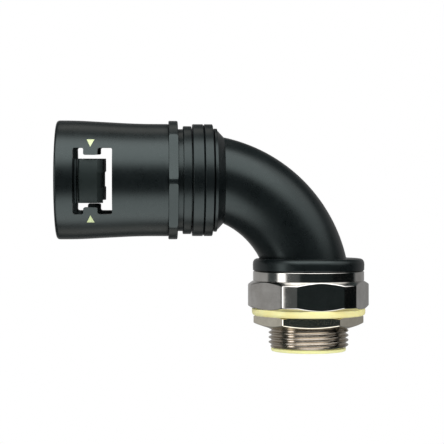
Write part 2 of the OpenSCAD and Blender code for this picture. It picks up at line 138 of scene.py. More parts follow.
adaptor = {
    "threadRadius": 12.5, "threadPitch": 1.5, "threadDepth": 0.86, "threadEnd": 12.35, "threadChamfer": 1.0,
    "threadPhase": -6.84, "hexApothem": 17.6, "hexTurnedRadius": 19.0, "hexHeight": 8.55, "hexTurn": 6,
    "chamferIn": 1.5, "chamferSlope": 0.6, "neckRadius": 17.375, "neckTop": 11.9, "cupRadius": 14.0,
    "cupFloor": 2.2, "throatRadius": 10.4, "cornerHalf": 7.87, "cornerEase": 0.14, "edgeEase": 0.32, "footEase": 0.22,
    "rootHalf": 0.095, "crestHalf": 0.095, "threadRound": 0.135,
}


def hexRadius(angle, apothem, turn):
    # Distance to the sides of a hexagon: apothem / cos of the angle from the nearest side's middle.
    fromMiddle = np.mod(angle - np.radians(turn + 30) + np.pi / 6, np.pi / 3) - np.pi / 6
    return apothem / np.cos(fromMiddle)


def threadProfile(a):
    # One pitch of the thread as (way along the axis, depth) in mm: root, flank, crest and flank, every corner rounded.
    pitch, deep, ease = a["threadPitch"], a["threadDepth"], a["threadRound"]
    root, crest = a["rootHalf"] * pitch, (0.5 - a["crestHalf"]) * pitch
    corners = [(0, deep), (root, deep, ease), (crest, 0, ease), (pitch - crest, 0, ease), (pitch - root, deep, ease)]
    return roundedPath(corners + [(pitch, deep)])[:-1]


def smoothLower(first, second, width):
    # The lower of two heights, rounded where they come closer than the width.
    near = np.maximum(width - np.abs(first - second), 0) / width
    return np.minimum(first, second) - near ** 2 * width / 4


def easedEdge(line, level, slope, inner, width, side, steps=6):
    # Rows over the edge where a chamfer meets the hexagon's sides: a quadratic curve from a point on the chamfer
    # over the edge to a point on the side. side is 1 for the upper edge and -1 for the lower one.
    inward = np.minimum(width, 0.8 * (line - inner))
    rows = []
    for t in np.linspace(0, 1, steps):
        rows.append((line - (1 - t) ** 2 * inward, level + side * ((1 - t) ** 2 * slope * inward - t ** 2 * width)))
    return rows if side > 0 else rows[::-1]


def buildAdaptor(a):
    breaks = [a["hexTurn"] + 60 * k + side * a["cornerHalf"] + step * 0.25 for k in range(7) for side in (-1, 1)
              for step in range(-4, 5)]
    degrees = np.unique(np.clip(np.round(np.concatenate([np.linspace(0, 360, 241), breaks]), 3), 0, 360))
    angle = np.radians(degrees)[None, :]
    hexLine = smoothLower(hexRadius(angle, a["hexApothem"], a["hexTurn"]), a["hexTurnedRadius"], a["cornerEase"])
    topCircle = a["hexTurnedRadius"] - a["chamferIn"]
    drop = np.maximum(hexLine - topCircle, 0) * a["chamferSlope"]
    flat = np.ones_like(angle)
    rows = [
        (flat * a["cupRadius"], flat * (a["neckTop"] - 0.25)), (flat * (a["cupRadius"] + 0.25), flat * a["neckTop"]),
        (flat * (a["neckRadius"] - 0.5), flat * a["neckTop"]), (flat * (a["neckRadius"] - 0.1), flat * (a["neckTop"] - 0.3)),
        (flat * a["neckRadius"], flat * (a["neckTop"] - 0.45)), (flat * a["neckRadius"], flat * (a["hexHeight"] + 0.25)),
        (flat * (a["neckRadius"] - 0.12), flat * (a["hexHeight"] + 0.12)), (flat * (a["neckRadius"] - 0.04), flat * a["hexHeight"]), (flat * (topCircle - 0.04), flat * a["hexHeight"]),
        (np.minimum(hexLine, topCircle), flat * a["hexHeight"]),
        *easedEdge(hexLine, a["hexHeight"] - drop, a["chamferSlope"], topCircle, a["edgeEase"], 1),
        *easedEdge(hexLine, drop, a["chamferSlope"], topCircle, a["footEase"], -1),
        (np.minimum(hexLine, topCircle), 0 * flat),
    ]
    # The thread's rows follow the helix: each keeps its place in the profile and climbs one pitch a turn.
    profile = threadProfile(a)
    turns = int(math.ceil(a["threadEnd"] / a["threadPitch"])) + 2
    station = (a["threadPitch"] * (1 - np.arange(turns)[:, None]) - profile[None, :, 0]).reshape(-1, 1)
    depth = np.tile(profile[:, 1], turns)[:, None]
    shift = a["threadPitch"] * angle / (2 * np.pi)
    offset = np.mod(a["threadPhase"] + a["threadPitch"] * 0.5, a["threadPitch"])
    z = np.clip(station + shift - a["threadPitch"] + offset, -a["threadEnd"], 0)
    bevel = a["threadRadius"] - a["threadChamfer"] + (z + a["threadEnd"])
    r = np.minimum(a["threadRadius"] - depth, bevel)
    rows += [(r[i:i + 1], z[i:i + 1]) for i in range(len(station))]
    rows += [
        (flat * a["throatRadius"], -a["threadEnd"] * flat), (flat * a["throatRadius"], flat * a["cupFloor"]),
        (flat * (a["cupRadius"] - 0.3), flat * a["cupFloor"]), (flat * a["cupRadius"], flat * (a["cupFloor"] + 0.3)),
    ]
    radius = np.concatenate([row[0] for row in rows])
    height = np.concatenate([row[1] for row in rows])
    points = aroundAxis(radius, height, angle)
    piece = meshPiece("adaptor_with_thread", points.reshape(-1, 3), gridQuads(len(radius), angle.shape[1]), 20)
    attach(piece, "adaptor")
    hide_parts("thread_adaptor")
    return piece


adaptorPiece = buildAdaptor(adaptor)
print("adaptor with its thread built")

# Throat liner, sealing washer and locknut

liner = {"bore": 9.4, "outside": 10.35, "lipRadius": 11.7, "lipEnd": 13.3, "flangeRadius": 13.3, "flangeTop": 3.0}


def buildLiner(s):
    end, floor = -adaptor["threadEnd"], adaptor["cupFloor"]
    profile = roundedPath([
        (s["bore"], -s["lipEnd"], 0.25), (s["lipRadius"], -s["lipEnd"], 0.35), (s["lipRadius"], end, 0.15),
        (s["outside"], end), (s["outside"], floor), (s["flangeRadius"], floor), (s["flangeRadius"], s["flangeTop"], 0.2),
        (s["bore"], s["flangeTop"], 0.3),
    ])
    return ringPiece("liner_tube", "adaptor", "throat_liner", profile, aroundAxis)


washer = {"radius": 17.75, "thickness": 2.2, "hole": 12.8, "edge": 0.3, "lowerEdge": 1.2}


def buildWasher(s):
    profile = roundedPath([
        (s["hole"], 0, 0.2), (s["radius"], 0, s["edge"]), (s["radius"], -s["thickness"], s["lowerEdge"]),
        (s["hole"], -s["thickness"], 0.2),
    ])
    return ringPiece("washer_ring", "washer", "sealing_washer", profile, aroundAxis)


nut = {"apothem": 15.0, "turn": -3.5, "top": -2.2, "bottom": -6.0, "sides": 2.35, "baseRadius": 13.0, "bore": 12.55,
       "edgeEase": 0.28}


def buildNut(s):
    degrees = np.linspace(0, 360, 361)
    angle = np.radians(degrees)[None, :]
    flat = np.ones_like(angle)
    corner = s["apothem"] / math.cos(math.pi / 6)
    line = hexRadius(angle, s["apothem"], s["turn"])
    underSlope = (-s["bottom"] + s["top"] - s["sides"]) / (corner - s["baseRadius"])
    topDrop = np.maximum(line - (corner - 0.9), 0) * 0.35
    under = s["bottom"] + (line - s["baseRadius"]) * underSlope
    rows = [
        (flat * s["bore"], flat * (s["top"] - 0.3)), (flat * (s["bore"] + 0.3), flat * s["top"]),
        (np.minimum(line, corner - 0.9), flat * s["top"]), (line - 0.05, s["top"] - topDrop),
        (line, s["top"] - topDrop - 0.06), *easedEdge(line, under, underSlope, s["baseRadius"], s["edgeEase"], -1),
        (flat * (s["baseRadius"] + 0.1), flat * (s["bottom"] + 0.03)), (flat * (s["baseRadius"] - 0.05), flat * s["bottom"]),
        (flat * (s["bore"] + 0.1), flat * s["bottom"]), (flat * s["bore"], flat * (s["bottom"] + 0.15)),
    ]
    radius = np.concatenate([row[0] for row in rows])
    height = np.concatenate([row[1] for row in rows])
    points = aroundAxis(radius, height, angle)
    piece = meshPiece("locknut_hex", points.reshape(-1, 3), gridQuads(len(radius), len(degrees)), 20)
    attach(piece, "nut")
    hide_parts("locknut")
    return piece


linerPiece, washerPiece, nutPiece = buildLiner(liner), buildWasher(washer), buildNut(nut)
print("liner, washer and locknut built")

# Elbow: one closed surface from the stub in the socket, over the bend, to the spigot in the adaptor and back inside

elbow = {
    "bendRadius": 36.85, "tubeRadius": 12.9, "boreRadius": 10.8, "centreAlong": 36.7, "centreHeight": 4.7,
    "armStart": 26.6, "coneEnd": 28.85, "coneRadius": 15.65, "stepRadius": 16.1, "ringStart": 30.25, "ringEnd": 36.55,
    "ringRadius": 17.45, "grooveAt": 33.05, "grooveHalf": 0.27, "grooveDepth": 0.5, "stubRadius": 13.6,
    "stubEnd": 43.95, "notchDepth": 0.6, "notchWidth": 0.5,
    "flangeRadius": 17.525, "flangeTop": 15.65, "flangeBottom": 11.9, "flangeRound": 1.9, "spigotRadius": 13.95, "spigotEnd": 3.35,
    "bendRows": 72,
}


def bendRows(e, radius, foot, angle, steps):
    # The tube of the bend between the arm's start plane and a level: on the circle at angle a the bend's centre is
    # R + r cos a away, so the plane x = -start is met at acos((c - start) / (R + r cos a)) and the level at
    # asin((level - h) / (R + r cos a)). Rows run evenly between the two.
    away = e["bendRadius"] + radius * np.cos(angle)
    first = np.arccos((e["centreAlong"] - e["armStart"]) / away)
    last = np.arcsin((foot - e["centreHeight"]) / away)
    turn = first + (last - first) * np.linspace(0, 1, steps)[:, None]
    return np.stack(np.broadcast_arrays(
        -e["centreAlong"] + away * np.cos(turn), radius * np.sin(angle), e["centreHeight"] + away * np.sin(turn)), -1)


def buildElbow(e):
    angle = np.linspace(0, 2 * np.pi, 241)[None, :]
    groove, half, deep = e["grooveAt"], e["grooveHalf"], e["grooveDepth"]
    armPath = roundedPath([
        (e["boreRadius"], e["stubEnd"]), (e["stubRadius"], e["stubEnd"], 0.4), (e["stubRadius"], e["ringEnd"]),
        (e["ringRadius"], e["ringEnd"], 0.3), (e["ringRadius"], groove + half, 0.08),
        (e["ringRadius"] - deep, groove), (e["ringRadius"], groove - half, 0.08),
        (e["ringRadius"], e["ringStart"], 0.3), (e["stepRadius"] - e["notchDepth"], e["ringStart"] - 0.1),
        (e["stepRadius"], e["ringStart"] - e["notchWidth"], 0.08), (e["stepRadius"], e["coneEnd"], 0.2),
        (e["coneRadius"], e["coneEnd"], 0.1), (e["tubeRadius"] + 0.45, e["armStart"] + 0.1),
    ])
    arm = aroundArm(armPath[:, :1], armPath[:, 1:2], angle)
    tube = bendRows(e, e["tubeRadius"], e["flangeTop"], angle, e["bendRows"])
    flangePath = roundedPath([
        (e["flangeRadius"] - 2, e["flangeTop"]), (e["flangeRadius"], e["flangeTop"], e["flangeRound"]),
        (e["flangeRadius"] - 0.12, e["flangeBottom"], 0.25), (e["spigotRadius"], e["flangeBottom"]),
        (e["spigotRadius"], e["spigotEnd"], 0.4), (e["boreRadius"], e["spigotEnd"]),
    ])[1:]
    flange = aroundAxis(flangePath[:, :1], flangePath[:, 1:2], angle)
    inside = bendRows(e, e["boreRadius"], e["centreHeight"] + 0.01, angle, 40)[::-1]
    points = np.concatenate([arm, tube, flange, inside])
    piece = meshPiece("elbow_shell", points.reshape(-1, 3), gridQuads(len(points), angle.shape[1]), 30)
    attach(piece, "elbow")
    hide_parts("elbow_body")
    return piece


socket = {
    "start": 36.85, "ringEnd": 39.45, "ringRadius": 16.825, "sleeveRadius": 15.9, "end": 59.9,
    "stubBore": 13.65, "shoulder": 44.0, "floor": 46.9, "throat": 11.4, "bore": 14.5,
}


def buildSocket(s):
    profile = roundedPath([
        (s["stubBore"], s["start"]), (s["ringRadius"], s["start"], 0.3), (s["ringRadius"], s["ringEnd"], 0.3),
        (s["sleeveRadius"], s["ringEnd"], 0.1), (s["sleeveRadius"], s["end"], 0.4), (s["bore"], s["end"], 0.2),
        (s["bore"], s["floor"]), (s["throat"], s["floor"], 0.2), (s["throat"], s["shoulder"]),
        (s["stubBore"], s["shoulder"]),
    ])
    return ringPiece("socket_sleeve", "elbow", "socket_body", profile, aroundArm)


elbowPiece, socketPiece = buildElbow(elbow), buildSocket(socket)
print("elbow and socket built")

# Cap, latch ring and tongues: shells round the arm with windows at the front and the back

cap = {
    "rim": 78.45, "end": 41.1, "collarEnd": 43.9, "wideEnd": 72.1, "slimStart": 53.3, "wideRadius": 18.45,
    "slimRadius": 17.47, "collarRadius": 18.45, "gripFlat": 16.9, "gripAngle": 26, "rimRound": 1.1,
    "boreRadius": 15.95, "mouthRadius": 14.6, "mouthWall": 2.85, "mouthChamfer": 0.8,
    "windowNear": 72.8, "windowFar": 61.0, "windowHalf": 10.0, "tabNear": 69.6, "tabFar": 65.4, "tabTip": 7.85,
    "edge": 0.16, "turn": 3.0, "windowRound": 0.6,
}


def capRadius(along, c):
    # Wide at the mouth, a straight taper, then slim to the collar, with both bends eased.
    path = roundedPath([
        (c["rim"] + 9, c["wideRadius"]), (c["wideEnd"], c["wideRadius"], 3.5), (c["slimStart"], c["slimRadius"], 5),
        (c["end"] - 9, c["slimRadius"]),
    ], 9)[::-1]
    return np.interp(along, path[:, 0], path[:, 1])


def splitColumns(radius, half, inner, extra):
    # Angles round the arm for every line: the windows' columns lie at fixed heights h, so their angle is
    # acos(h / radius), and the columns between the windows share out what is left evenly.
    heights = np.unique(np.round(np.concatenate([np.linspace(-half, half, 25), inner]), 4))[::-1]
    share = np.unique(np.round(np.concatenate([np.linspace(0, 1, 29), extra]), 5))
    r = radius[:, None]
    corner, lower = np.arccos(half / r), np.arccos(-half / r)
    rear = np.arccos(heights[None, :] / r)
    front = 2 * np.pi - rear[:, ::-1]
    bottomShare = np.unique(np.concatenate([share / 2, 1 - share / 2]))
    top, bottom = share[None, :] * corner, lower + bottomShare[None, :] * (2 * np.pi - 2 * lower)
    angle = np.concatenate([top, rear[:, 1:], bottom[:, 1:], front[:, 1:], (2 * np.pi - top[:, ::-1])[:, 1:]], 1)
    cells = np.full(angle.shape[1] - 1, np.nan)
    middle = (heights[1:] + heights[:-1]) / 2
    first = len(share) - 1
    cells[first:first + len(middle)] = middle
    second = first + len(middle) + len(bottomShare) - 1
    cells[second:second + len(middle)] = middle[::-1]
    return angle, cells


def shellPiece(name, body, replaced, lines, half, inner, extra, cutAway, endCut=False, flats=None):
    # lines holds one row for each line round the shell: (station outside, radius outside, station inside, radius inside).
    # Cells that cutAway names are left out of both skins, and a wall joins the skins round each hole.
    outAngle, cells = splitColumns(lines[:, 1], half, inner, extra)
    inAngle, _ = splitColumns(lines[:, 3], half, inner, extra)
    outRadius = lines[:, 1][:, None] * np.ones_like(outAngle)
    if flats is not None:
        outRadius = flats(outRadius, outAngle, lines[:, 0][:, None])
    outside = aroundArm(outRadius, lines[:, 0][:, None], outAngle)
    inside = aroundArm(lines[:, 3][:, None], lines[:, 2][:, None], inAngle)
    n, m = outAngle.shape
    middle = (lines[1:, 0] + lines[:-1, 0]) / 2
    gone = cutAway(middle[:, None], np.abs(cells)[None, :]) & ~np.isnan(cells)[None, :]
    k, j = np.meshgrid(np.arange(n - 1), np.arange(m - 1), indexing="ij")
    quad = np.stack([k * m + j, k * m + j + 1, (k + 1) * m + j + 1, (k + 1) * m + j], -1)
    skin = quad[~gone]
    base = n * m
    quads = [skin, skin[:, ::-1] + base]
    acrossRows = np.argwhere(gone[1:] != gone[:-1]) + [1, 0]
    a = acrossRows[:, 0] * m + acrossRows[:, 1]
    quads.append(np.stack([a, a + 1, a + 1 + base, a + base], -1))
    acrossCols = np.argwhere(gone[:, 1:] != gone[:, :-1]) + [0, 1]
    b = acrossCols[:, 0] * m + acrossCols[:, 1]
    quads.append(np.stack([b, b + m, b + m + base, b + base], -1))
    column = np.arange(m - 1)
    quads.append(np.stack([column, column + 1, column + 1 + base, column + base], -1))
    column = column[~gone[-1]] if endCut else column
    last = (n - 1) * m + column
    quads.append(np.stack([last, last + 1, last + 1 + base, last + base], -1))
    points = np.concatenate([outside.reshape(-1, 3), inside.reshape(-1, 3)])
    piece = meshPiece(name, turnedOnArm(points), np.concatenate(quads), 28)
    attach(piece, body)
    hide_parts(replaced)
    return piece


def turnedOnArm(points):
    # The cap and all that it carries stand turned about the arm's axis, with the front window lowered.
    c, s = math.cos(math.radians(cap["turn"])), math.sin(math.radians(cap["turn"]))
    y, z = points[..., 1], points[..., 2] - armHeight
    return np.stack([points[..., 0], y * c - z * s, armHeight + y * s + z * c], -1)


def roundCorners(piece, width, steps=4):
    # The corner lines that run through the wall, from the outer skin to the inner one, become fillets.
    net = bmesh.new()
    net.from_mesh(piece.data)
    corners = []
    for edge in net.edges:
        if len(edge.link_faces) == 2 and edge.calc_face_angle(0) > math.radians(60) and edge.calc_length() > 0.9 * mm:
            middle = (edge.verts[0].co + edge.verts[1].co) / 2 - Vector((0, 0, armHeight * mm))
            way = edge.verts[1].co - edge.verts[0].co
            if abs(way.x) < 0.1 * way.length and abs(way.dot(Vector((0, middle.y, middle.z)).normalized())) > 0.6 * way.length:
                corners.append(edge)
    bmesh.ops.bevel(net, geom=corners, offset=width * mm, segments=steps, profile=0.5, affect="EDGES")
    net.to_mesh(piece.data)
    net.free()
    piece.data.set_sharp_from_angle(angle=math.radians(28))
    return len(corners)


def softenEdges(piece, width, angle=40, segments=2):
    bevel = piece.modifiers.new("soft_edges", "BEVEL")
    bevel.width = width * mm
    bevel.segments = segments
    bevel.limit_method = "ANGLE"
    bevel.angle_limit = math.radians(angle)
    bevel.use_clamp_overlap = True
    bevel.miter_outer = "MITER_ARC"


def buildCap(c):
    rim, collar, end = c["rim"], c["collarEnd"], c["end"]
    inEnd = rim - c["mouthWall"]
    rimArc = roundedPath([
        (rim, c["mouthRadius"] + 1.6), (rim, c["wideRadius"], c["rimRound"]), (rim - 3, c["wideRadius"]),
    ], 7)[:-1]
    lines = [(s, r, rim - 0.02 * i, c["mouthRadius"] + c["mouthChamfer"]) for i, (s, r) in enumerate(rimArc)]
    plain = np.concatenate([
        np.linspace(rim - 2.2, c["windowNear"], 6), np.linspace(c["windowNear"], c["tabNear"], 4)[1:],
        np.linspace(c["tabNear"], c["tabFar"], 5)[1:], np.linspace(c["tabFar"], c["windowFar"], 5)[1:],
        np.linspace(c["windowFar"], collar + 0.3, 16)[1:],
    ])
    radius = capRadius(plain, c)
    for s, r in zip(plain, radius):
        if s > inEnd:
            lines.append((s, r, s, c["mouthRadius"]))
        else:
            if lines[-1][3] < c["boreRadius"]:
                lines += [(inEnd, capRadius(inEnd, c), inEnd, c["mouthRadius"]),
                          (inEnd, capRadius(inEnd, c), inEnd, c["boreRadius"])]
            lines.append((s, r, s, c["boreRadius"]))
    bore, wide, slim = c["boreRadius"], c["collarRadius"], c["slimRadius"]
    lines += [
        (collar + 0.12, slim - 0.05, collar + 0.12, bore), (collar + 0.02, slim - 0.2, collar + 0.02, bore),
        (collar, wide - 0.15, collar, bore), (collar - 0.15, wide, collar - 0.15, bore),
        (end + 0.22, wide, end + 0.22, bore), (end, wide - 0.22, end, bore + 0.01),
    ]
    lines = np.array(lines)

    def flats(r, angle, along):
        # Grip flats: the radius is no more than flat / cos of the angle from each flat's middle.
        for side in (90, 270):
            for turn in (-c["gripAngle"], c["gripAngle"]):
                away = angle - np.radians(side + turn)
                reach = np.where(np.cos(away) > 0.5, c["gripFlat"] / np.maximum(np.cos(away), 0.5), 99)
                r = np.where(along <= collar, np.minimum(r, reach), r)
        return r

    def cutAway(s, h):
        window = (s < c["windowNear"]) & (s > c["windowFar"]) & (h < c["windowHalf"])
        tab = (s < c["tabNear"]) & (s > c["tabFar"]) & (h > c["tabTip"])
        return window & ~tab

    tip = c["tabTip"]
    piece = shellPiece("cap_shell", "elbow", "locking_cap", lines, c["windowHalf"], [tip, -tip, 0.77, -0.77],
                       [0.7065], cutAway, flats=flats)
    print("window corners rounded:", roundCorners(piece, c["windowRound"]))
    softenEdges(piece, c["edge"])
    return piece


latch = {
    "start": 59.95, "face": 71.25, "ribMiddle": 72.1, "ribHalf": 0.5, "bandStart": 72.9, "end": 75.55, "outRadius": 15.9,
    "grooveRadius": 15.4, "inRadius": 14.9, "openHalf": 10.3, "rootHalf": 6.6,
}


def buildLatchRing(c):
    out, groove = c["outRadius"], c["grooveRadius"]
    turns = np.linspace(0, np.pi, 11)
    rib = [(c["ribMiddle"] + c["ribHalf"] * np.cos(a), groove + (out - groove) * np.sin(a)) for a in turns]
    stations = [
        (c["end"], out), (c["bandStart"], out), (c["bandStart"], groove), *rib, (c["face"], groove), (c["face"], out),
        (c["start"], out),
    ]
    lines = np.array([(s, r, s, c["inRadius"]) for s, r in stations])

    def cutAway(s, h):
        besideRoot = (s < c["bandStart"]) & (h > c["rootHalf"])
        return ((s < c["face"]) | besideRoot) & (h < c["openHalf"])

    root = c["rootHalf"]
    return shellPiece("latch_band", "elbow", "latch_ring", lines, c["openHalf"], [root, -root], [], cutAway, endCut=True)


tongue = {
    "root": 70.95, "tip": 63.75, "slope": 1.75, "half": 6.6, "outRadius": 16.5, "thickness": 1.7, "drop": 0.9,
    "toothDepth": 1.6, "toothPitch": 3.2, "notchHalf": 2.2, "notchDepth": 0.35, "edge": 0.14,
    "rootLean": 0.22,
}


def buildTongue(c, side, name, body, replaced):
    inner, outer, tip, root = c["outRadius"] - c["thickness"], c["outRadius"], c["tip"], c["root"]
    foot, low = tip + c["slope"], outer - c["drop"]
    # The root leans towards the latch ring at the outside, where the flexing tongue moves away from it.
    lean = c["rootLean"]
    profile = [(inner, root), (outer - 0.4, root + lean), (outer, root + lean - 0.4), (outer, foot),
               (low, tip + 0.25), (low - 0.25, tip), (inner, tip)]
    for row in range(2):
        start = tip + 0.2 + row * c["toothPitch"]
        profile += [(inner, start), (inner - c["toothDepth"], start + 0.3), (inner - c["toothDepth"], start + 0.7),
                    (inner, start + 1.5)]
    profile = np.array(profile)
    notch, half = c["notchHalf"], c["half"]
    height = np.unique(np.round(np.concatenate([np.linspace(-half, half, 25), [notch, -notch, notch + 0.3, -notch - 0.3]]), 4))
    dent = c["notchDepth"] * np.interp(np.abs(height), [notch, notch + 0.3], [1, 0])
    radius = profile[:, :1]
    near = np.clip((foot - profile[:, 1:2]) / c["slope"], 0, 1) * (radius > inner - 0.01)
    along = profile[:, 1:2] + dent[None, :] * near
    depth = np.sqrt(radius ** 2 - height[None, :] ** 2)
    points = np.stack(np.broadcast_arrays(-along, side * depth, armHeight + height[None, :]), -1)
    rows, cols = points.shape[:2]
    faces = gridQuads(rows, cols).tolist()
    ends = [[r * cols for r in range(rows)], [r * cols + cols - 1 for r in range(rows)]]
    piece = meshPiece(name, turnedOnArm(points.reshape(-1, 3)), np.array(faces), 28, ends)
    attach(piece, body)
    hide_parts(replaced)
    softenEdges(piece, c["edge"])
    return piece


marker = {"middle": 67.5, "width": 2.3, "apex": 10.3, "base": 12.5, "depth": 0.3, "proud": 0.03}


def buildMarker(c, up, side, name, replaced):
    # A triangle laid on the cap: rows run from the apex to the base and columns across it, in two skins.
    t, u = np.linspace(0, 1, 7)[:, None], np.linspace(-1, 1, 7)[None, :]
    height = c["apex"] + (c["base"] - c["apex"]) * t + 0 * u
    along = c["middle"] + u * t * c["width"] / 2
    skins = []
    for lift in (c["proud"], -c["depth"]):
        radius = capRadius(along, cap) + lift
        depth = np.sqrt(radius ** 2 - height ** 2)
        skins.append(np.stack([-along, side * depth, armHeight + up * height], -1).reshape(-1, 3))
    r, k = np.meshgrid(np.arange(6), np.arange(6), indexing="ij")
    top = np.stack([r * 7 + k, r * 7 + k + 1, (r + 1) * 7 + k + 1, (r + 1) * 7 + k], -1).reshape(-1, 4)
    rim = np.concatenate([np.arange(0, 43, 7), np.arange(43, 49), np.arange(48, 0, -7)[1:]])
    after = np.roll(rim, -1)
    wall = np.stack([rim, after, after + 49, rim + 49], -1)
    piece = meshPiece(name, turnedOnArm(np.concatenate(skins)), np.concatenate([top, top[:, ::-1] + 49, wall]), 28)
    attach(piece, "elbow")
    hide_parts(replaced)
    return piece


capPiece, latchPiece = buildCap(cap), buildLatchRing(latch)
tonguePieces = [buildTongue(tongue, -1, "tongue_front", "front_latch", "front_tongue"),
                buildTongue(tongue, 1, "tongue_rear", "rear_latch", "rear_tongue")]
markerPieces = [buildMarker(marker, up, side, f"mark_{face}_{level}", f"{face}_{level}_marker")
                for face, side in (("front", -1), ("rear", 1)) for level, up in (("upper", 1), ("lower", -1))]
print("cap, latch ring, tongues and markers built")

# Materials

def newMaterial(name, socketValues):
    material = bpy.data.materials.new(name)
    material.use_nodes = True
    shader = material.node_tree.nodes["Principled BSDF"]
    for socket, value in socketValues.items():
        shader.inputs[socket].default_value = value
    return material, material.node_tree, shader


def addNode(tree, kind, values=None, **settings):
    node = tree.nodes.new(kind)
    for key, value in settings.items():
        setattr(node, key, value)
    for socket, value in (values or {}).items():
        node.inputs[socket].default_value = value
    return node


def placed(tree, scale=(1, 1, 1)):
    # The pattern's place: object coordinates in millimetres, stretched where a finish runs one way.
    place = addNode(tree, "ShaderNodeTexCoord")
    mapping = addNode(tree, "ShaderNodeMapping", {"Scale": [s / mm for s in scale]})
    tree.links.new(place.outputs["Object"], mapping.inputs["Vector"])
    return mapping.outputs["Vector"]


def noise(tree, vector, scale, detail=3.0, roughness=0.55):
    node = addNode(tree, "ShaderNodeTexNoise", {"Scale": scale, "Detail": detail, "Roughness": roughness})
    tree.links.new(vector, node.inputs["Vector"])
    return node.outputs["Fac"]


def ranged(tree, value, low, high, fromLow=0.3, fromHigh=0.7):
    node = addNode(tree, "ShaderNodeMapRange", {"From Min": fromLow, "From Max": fromHigh, "To Min": low, "To Max": high})
    tree.links.new(value, node.inputs["Value"])
    return node.outputs["Result"]


def combined(tree, how, a, b):
    node = addNode(tree, "ShaderNodeMath", operation=how)
    for i, part in enumerate((a, b)):
        if isinstance(part, (int, float)):
            node.inputs[i].default_value = part
        else:
            tree.links.new(part, node.inputs[i])
    return node.outputs["Value"]


def tinted(tree, value, first, second):
    ramp = addNode(tree, "ShaderNodeMix", data_type="RGBA")
    ramp.inputs["A"].default_value = (*first, 1)
    ramp.inputs["B"].default_value = (*second, 1)
    tree.links.new(value, ramp.inputs["Factor"])
    return ramp.outputs["Result"]


def bumped(tree, shader, height, strength, distance):
    bump = addNode(tree, "ShaderNodeBump", {"Strength": strength, "Distance": distance * mm})
    tree.links.new(height, bump.inputs["Height"])
    tree.links.new(bump.outputs["Normal"], shader.inputs["Normal"])
    return bump


plastic = {
    "dark": (0.0035, 0.0050, 0.0054), "light": (0.0055, 0.0075, 0.0080), "roughLow": 0.25, "roughHigh": 0.34,
    "grain": 7.0, "cloud": 0.12, "ior": 1.5, "tint": (0.84, 1.0, 0.99, 1), "level": 0.5,
}


def blackPlastic(name, s):
    # Spark-eroded moulding: a fine grain in the bump, slow clouding in colour and gloss.
    material, tree, shader = newMaterial(name, {"IOR": s["ior"], "Specular IOR Level": s["level"], "Specular Tint": s["tint"]})
    place = placed(tree)
    cloud = noise(tree, place, s["cloud"], 4)
    grain = noise(tree, place, s["grain"], 2)
    mottle = noise(tree, place, 0.9, 3)
    colour = tinted(tree, ranged(tree, cloud, 0, 1), s["dark"], s["light"])
    if "rib" in s:
        # A painted highlight: a paler line along the rib stands in for the light the rib would catch, a share that
        # falls off with the square of the distance from its middle.
        split = addNode(tree, "ShaderNodeSeparateXYZ")
        tree.links.new(place, split.inputs["Vector"])
        away = combined(tree, "ADD", split.outputs["X"], s["ribMiddle"])
        share = ranged(tree, combined(tree, "MULTIPLY", away, away), 1, 0, 0.05, 0.2)
        blend = addNode(tree, "ShaderNodeMix", data_type="RGBA")
        blend.inputs["B"].default_value = (*s["rib"], 1)
        tree.links.new(share, blend.inputs["Factor"])
        tree.links.new(colour, blend.inputs["A"])
        colour = blend.outputs["Result"]
    tree.links.new(colour, shader.inputs["Base Color"])
    tree.links.new(ranged(tree, combined(tree, "ADD", combined(tree, "MULTIPLY", mottle, 0.6),
                                         combined(tree, "MULTIPLY", cloud, 0.4)), s["roughLow"], s["roughHigh"]),
                   shader.inputs["Roughness"])
    height = combined(tree, "ADD", combined(tree, "MULTIPLY", grain, 0.35), combined(tree, "MULTIPLY", mottle, 0.25))
    bumped(tree, shader, height, 0.26, 0.03)
    return material


nickel = {
    "bright": (0.66, 0.645, 0.615), "dull": (0.52, 0.50, 0.47), "roughLow": 0.07, "roughHigh": 0.2,
    "turning": 5.5, "warm": (0.56, 0.505, 0.435), "threadTop": -4.5, "threadFull": -6.5, "threadRough": 0.03,
}
nutNickel = {**nickel, "bright": (0.88, 0.83, 0.70), "dull": (0.74, 0.69, 0.57), "roughLow": 0.15, "roughHigh": 0.25,
             "threadTop": -40, "threadFull": -41}


def nickelPlate(name, s):
    # Turned brass under nickel: fine rings round the axis, a few fine scratches, clouded gloss.
    material, tree, shader = newMaterial(name, {"Metallic": 1.0})
    place = placed(tree)
    cloud = noise(tree, place, 0.22, 4)
    rings = noise(tree, placed(tree, (0.03, 0.03, s["turning"])), 1.0, 3)
    scratch = noise(tree, placed(tree, (2.6, 0.35, 1.4)), 0.9, 5, 0.7)
    colour = tinted(tree, ranged(tree, cloud, 0, 1), s["dull"], s["bright"])
    # The thread below the hexagon gets a warmer colour and more roughness: a share that rises below the hexagon.
    split = addNode(tree, "ShaderNodeSeparateXYZ")
    tree.links.new(place, split.inputs["Vector"])
    thread = ranged(tree, split.outputs["Z"], 0, 1, s["threadTop"], s["threadFull"])
    blend = addNode(tree, "ShaderNodeMix", data_type="RGBA")
    tree.links.new(thread, blend.inputs["Factor"])
    tree.links.new(colour, blend.inputs["A"])
    blend.inputs["B"].default_value = (*s["warm"], 1)
    tree.links.new(blend.outputs["Result"], shader.inputs["Base Color"])
    mix = combined(tree, "ADD", combined(tree, "MULTIPLY", rings, 0.45), combined(tree, "MULTIPLY", scratch, 0.55))
    rough = combined(tree, "ADD", ranged(tree, mix, s["roughLow"], s["roughHigh"]),
                     combined(tree, "MULTIPLY", thread, s["threadRough"]))
    tree.links.new(rough, shader.inputs["Roughness"])
    height = combined(tree, "ADD", combined(tree, "MULTIPLY", rings, 0.5), combined(tree, "MULTIPLY", scratch, 0.5))
    bumped(tree, shader, height, 0.16, 0.02)
    return material


yellow = {"pale": (0.93, 0.90, 0.47), "deep": (0.90, 0.80, 0.33), "roughness": (0.34, 0.5)}


